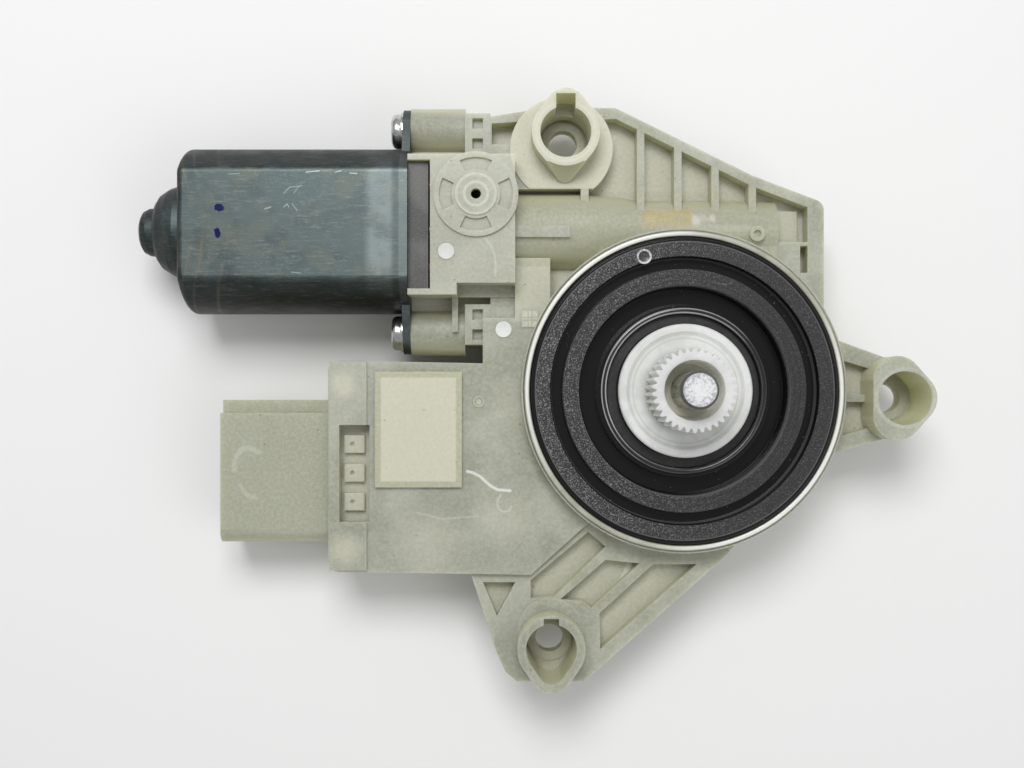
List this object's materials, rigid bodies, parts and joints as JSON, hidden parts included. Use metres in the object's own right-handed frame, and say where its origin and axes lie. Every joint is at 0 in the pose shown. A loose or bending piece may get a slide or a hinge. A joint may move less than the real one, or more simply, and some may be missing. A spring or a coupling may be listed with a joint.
{
  "type": "power window gear motor",
  "caption": "Flat worm gear motor for a car door: a steel motor can, a round gearbox with a splined hub and a control box with a plug socket, on a ribbed moulding with screw bosses.",
  "frame": {"origin": "the output hub's axis where it meets the flat back of the drum, on which the motor lies", "axes": "+Z along the hub's axis, out of the drum; +X along the motor's shaft, from the can towards the worm; +Y from the hub towards the worm"},
  "size_m": [0.1806, 0.1349, 0.0485],
  "materials": {
    "natural_housing": "milky translucent moulding, satin with grained flats",
    "black_cover": "black moulding, grained rings and glossy steps",
    "black_rubber": "soft and finely grained",
    "white_hub": "white moulding, satin",
    "ground_pin": "ground steel with a chamfered end",
    "spring_steel": "dark spring steel",
    "drawn_can": "zinc plated drawn steel with rolling marks",
    "bright_screw": "bright plated steel",
    "grey_holder": "dark grey grained moulding",
    "acetal_wheel": "moulded gear plastic",
    "grey_damper": "soft rubber",
    "ferrite": "pressed magnet, matt",
    "sheet_stack": "stacked sheets",
    "copper_wire": "lacquered winding wire",
    "bronze_bush": "sintered bush",
    "contact_brass": "stamped contact metal",
    "carbon": "pressed carbon, matt",
    "board_green": "printed board",
    "black_parts": "moulded component cases",
    "capacitor_can": "drawn can"
  },
  "bodies": {
    "housing": {"gear_housing": "natural_housing", "gear_cover": "black_cover", "panel_seal": "black_rubber", "hub_lip_seal": "black_rubber", "axle_pin": "ground_pin", "retaining_ring": "spring_steel", "motor_can": "drawn_can", "field_magnets": "ferrite", "rear_bearing": "bronze_bush", "front_bearing": "bronze_bush", "worm_end_bearing": "bronze_bush", "thrust_plug": "ground_pin", "brush_holder": "grey_holder", "carbon_brushes": "carbon", "brush_springs": "contact_brass", "choke_coils": "copper_wire", "can_screws": "bright_screw", "connector_header": "natural_housing", "connector_blades": "contact_brass", "circuit_board": "board_green", "motor_relays": "black_parts", "board_capacitor": "capacitor_can", "control_chip": "black_parts", "motor_strips": "contact_brass"},
    "armature": {"armature_shaft": "ground_pin", "armature_core": "sheet_stack", "rear_winding": "copper_wire", "front_winding": "copper_wire", "commutator": "contact_brass", "sensor_magnet": "ferrite"},
    "output": {"worm_wheel": "acetal_wheel", "rubber_damper": "grey_damper", "drive_hub": "white_hub"}
  },
  "joints": [
    {"name": "armature_spin", "type": "hinge", "parent": "housing", "child": "armature", "pos_m": [0, 0.037, 0.0145], "axis": [1, 0, 0], "continuous": true},
    {"name": "output_spin", "type": "hinge", "parent": "housing", "child": "output", "pos_m": [0, 0, 0], "axis": [0, 0, 1], "continuous": true}
  ],
  "couplings": [
    {"joint": "output_spin", "follows": "armature_spin", "ratio": 0.013889}
  ]
}
